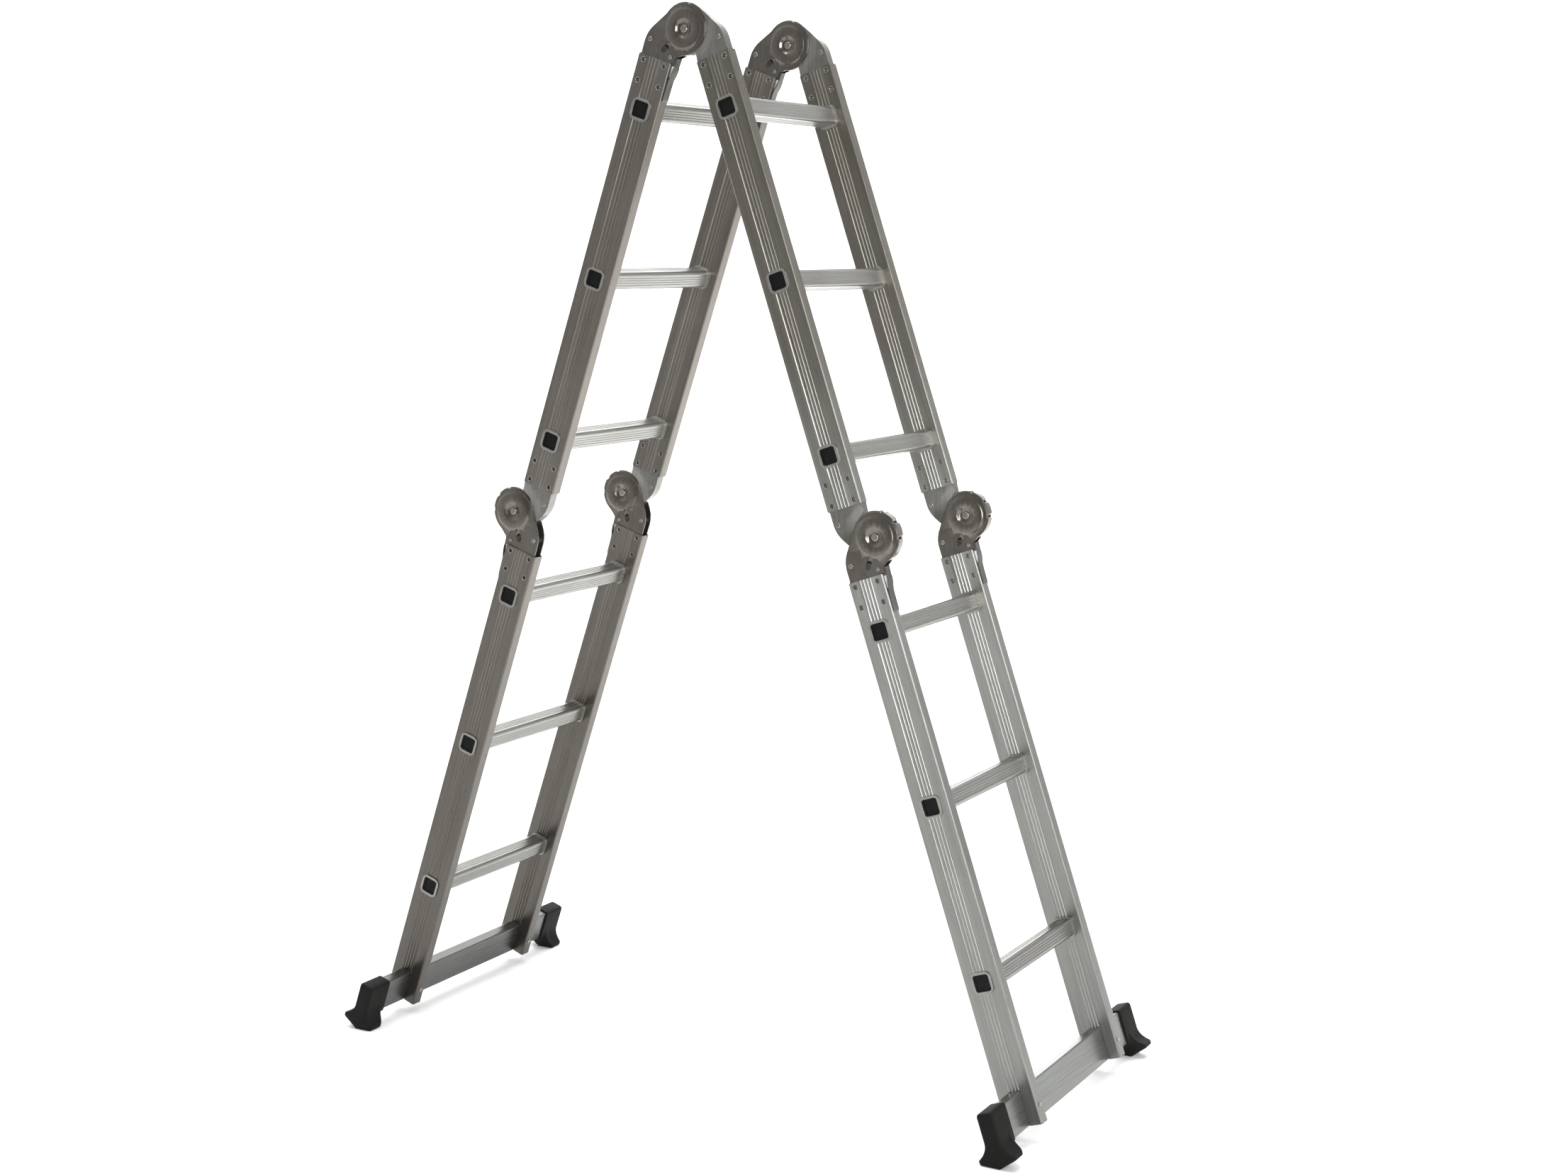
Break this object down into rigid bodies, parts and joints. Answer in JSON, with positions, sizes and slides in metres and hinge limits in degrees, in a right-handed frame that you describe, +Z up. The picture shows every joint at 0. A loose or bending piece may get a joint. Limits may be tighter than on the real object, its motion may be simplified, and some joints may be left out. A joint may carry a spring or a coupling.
{
  "type": "multi position ladder",
  "caption": "Folding multi-position ladder: box stiles, grooved square rungs and locking hinges between its sections, standing as an A-frame on stabiliser bars with rubber feet",
  "frame": {"origin": "on the floor, midway between the four feet", "axes": "+Z up; +Y along the rungs, away from the near side; +X across the spread of the legs, to the right"},
  "size_m": [1.2806, 0.576, 1.729],
  "materials": {
    "stile_aluminium": "mill finish extrusion with fine ribs",
    "rung_aluminium": "mill finish, grooved tread",
    "rivet_steel": "zinc plated",
    "plug_plastic": "matte moulded",
    "lock_plate_steel": "pressed and plated, satin",
    "disc_leaf_steel": "pressed and plated, satin",
    "pin_steel": "turned",
    "spring_steel": "rolled spring steel",
    "bolt_steel": "turned",
    "lever_steel": "pressed and plated, satin",
    "bar_aluminium": "mill finish tube",
    "foot_rubber": "matte moulded"
  },
  "bodies": {
    "upper_left_section": {"upper_left_near_stile": "stile_aluminium", "upper_left_far_stile": "stile_aluminium", "upper_left_rung_1": "rung_aluminium", "upper_left_rung_2": "rung_aluminium", "upper_left_rung_3": "rung_aluminium", "upper_left_rung_plugs": "plug_plastic", "upper_left_rivets": "rivet_steel", "apex_lock_plates": "lock_plate_steel", "apex_pins": "pin_steel", "apex_lever_springs": "spring_steel", "left_mid_disc_leaves": "disc_leaf_steel"},
    "upper_right_section": {"upper_right_near_stile": "stile_aluminium", "upper_right_far_stile": "stile_aluminium", "upper_right_rung_1": "rung_aluminium", "upper_right_rung_2": "rung_aluminium", "upper_right_rung_3": "rung_aluminium", "upper_right_rung_plugs": "plug_plastic", "upper_right_rivets": "rivet_steel", "apex_disc_leaves": "disc_leaf_steel", "right_mid_disc_leaves": "disc_leaf_steel"},
    "lower_left_section": {"lower_left_near_stile": "stile_aluminium", "lower_left_far_stile": "stile_aluminium", "lower_left_rung_1": "rung_aluminium", "lower_left_rung_2": "rung_aluminium", "lower_left_rung_3": "rung_aluminium", "lower_left_rung_plugs": "plug_plastic", "lower_left_rivets": "rivet_steel", "left_mid_lock_plates": "lock_plate_steel", "left_mid_pins": "pin_steel", "left_mid_lever_springs": "spring_steel", "left_stabiliser_bar": "bar_aluminium", "left_near_foot": "foot_rubber", "left_far_foot": "foot_rubber"},
    "lower_right_section": {"lower_right_near_stile": "stile_aluminium", "lower_right_far_stile": "stile_aluminium", "lower_right_rung_1": "rung_aluminium", "lower_right_rung_2": "rung_aluminium", "lower_right_rung_3": "rung_aluminium", "lower_right_rung_plugs": "plug_plastic", "lower_right_rivets": "rivet_steel", "right_mid_lock_plates": "lock_plate_steel", "right_mid_pins": "pin_steel", "right_mid_lever_springs": "spring_steel", "right_stabiliser_bar": "bar_aluminium", "right_near_foot": "foot_rubber", "right_far_foot": "foot_rubber"},
    "apex_near_lever": {"apex_near_lever": "lever_steel"},
    "apex_near_lock_bolt": {"apex_near_lock_bolt": "bolt_steel"},
    "apex_far_lever": {"apex_far_lever": "lever_steel"},
    "apex_far_lock_bolt": {"apex_far_lock_bolt": "bolt_steel"},
    "left_mid_near_lever": {"left_mid_near_lever": "lever_steel"},
    "left_mid_near_lock_bolt": {"left_mid_near_lock_bolt": "bolt_steel"},
    "left_mid_far_lever": {"left_mid_far_lever": "lever_steel"},
    "left_mid_far_lock_bolt": {"left_mid_far_lock_bolt": "bolt_steel"},
    "right_mid_near_lever": {"right_mid_near_lever": "lever_steel"},
    "right_mid_near_lock_bolt": {"right_mid_near_lock_bolt": "bolt_steel"},
    "right_mid_far_lever": {"right_mid_far_lever": "lever_steel"},
    "right_mid_far_lock_bolt": {"right_mid_far_lock_bolt": "bolt_steel"}
  },
  "joints": [
    {"name": "apex_fold", "type": "hinge", "parent": "upper_left_section", "child": "upper_right_section", "pos_m": [0, 0, 1.68805], "axis": [0, 1, 0], "range_deg": [-142.3, 37.7]},
    {"name": "left_mid_fold", "type": "hinge", "parent": "upper_left_section", "child": "lower_left_section", "pos_m": [-0.33954, 0, 0.91636], "axis": [0, 1, 0], "range_deg": [0, 180]},
    {"name": "right_mid_fold", "type": "hinge", "parent": "upper_right_section", "child": "lower_right_section", "pos_m": [0.33954, 0, 0.91636], "axis": [0, -1, 0], "range_deg": [0, 180]},
    {"name": "apex_near_lever_press", "type": "hinge", "parent": "upper_left_section", "child": "apex_near_lever", "pos_m": [-0.06144, -0.164, 1.67521], "axis": [0, -1, 0], "range_deg": [0, 5]},
    {"name": "apex_near_lock_bolt_slide", "type": "slide", "parent": "upper_left_section", "child": "apex_near_lock_bolt", "axis": [0.7755, 0, 0.6314], "range_m": [0, 0.00285]},
    {"name": "apex_far_lever_press", "type": "hinge", "parent": "upper_left_section", "child": "apex_far_lever", "pos_m": [-0.06144, 0.164, 1.67521], "axis": [0, -1, 0], "range_deg": [0, 5]},
    {"name": "apex_far_lock_bolt_slide", "type": "slide", "parent": "upper_left_section", "child": "apex_far_lock_bolt", "axis": [0.7755, 0, 0.6314], "range_m": [0, 0.00285]},
    {"name": "left_mid_near_lever_press", "type": "hinge", "parent": "lower_left_section", "child": "left_mid_near_lever", "pos_m": [-0.29877, 0.164, 0.86863], "axis": [0, 1, 0], "range_deg": [0, 5]},
    {"name": "left_mid_near_lock_bolt_slide", "type": "slide", "parent": "lower_left_section", "child": "left_mid_near_lock_bolt", "axis": [-0.2275, 0, 0.9738], "range_m": [0, 0.00285]},
    {"name": "left_mid_far_lever_press", "type": "hinge", "parent": "lower_left_section", "child": "left_mid_far_lever", "pos_m": [-0.29877, -0.164, 0.86863], "axis": [0, 1, 0], "range_deg": [0, 5]},
    {"name": "left_mid_far_lock_bolt_slide", "type": "slide", "parent": "lower_left_section", "child": "left_mid_far_lock_bolt", "axis": [-0.2275, 0, 0.9738], "range_m": [0, 0.00285]},
    {"name": "right_mid_near_lever_press", "type": "hinge", "parent": "lower_right_section", "child": "right_mid_near_lever", "pos_m": [0.29877, -0.164, 0.86863], "axis": [0, -1, 0], "range_deg": [0, 5]},
    {"name": "right_mid_near_lock_bolt_slide", "type": "slide", "parent": "lower_right_section", "child": "right_mid_near_lock_bolt", "axis": [0.2275, 0, 0.9738], "range_m": [0, 0.00285]},
    {"name": "right_mid_far_lever_press", "type": "hinge", "parent": "lower_right_section", "child": "right_mid_far_lever", "pos_m": [0.29877, 0.164, 0.86863], "axis": [0, -1, 0], "range_deg": [0, 5]},
    {"name": "right_mid_far_lock_bolt_slide", "type": "slide", "parent": "lower_right_section", "child": "right_mid_far_lock_bolt", "axis": [0.2275, 0, 0.9738], "range_m": [0, 0.00285]}
  ],
  "couplings": [
    {"joint": "apex_near_lock_bolt_slide", "follows": "apex_near_lever_press", "m_per_rad": 0.032086},
    {"joint": "apex_far_lock_bolt_slide", "follows": "apex_far_lever_press", "m_per_rad": 0.032086},
    {"joint": "left_mid_near_lock_bolt_slide", "follows": "left_mid_near_lever_press", "m_per_rad": 0.032086},
    {"joint": "left_mid_far_lock_bolt_slide", "follows": "left_mid_far_lever_press", "m_per_rad": 0.032086},
    {"joint": "right_mid_near_lock_bolt_slide", "follows": "right_mid_near_lever_press", "m_per_rad": 0.032086},
    {"joint": "right_mid_far_lock_bolt_slide", "follows": "right_mid_far_lever_press", "m_per_rad": 0.032086}
  ]
}
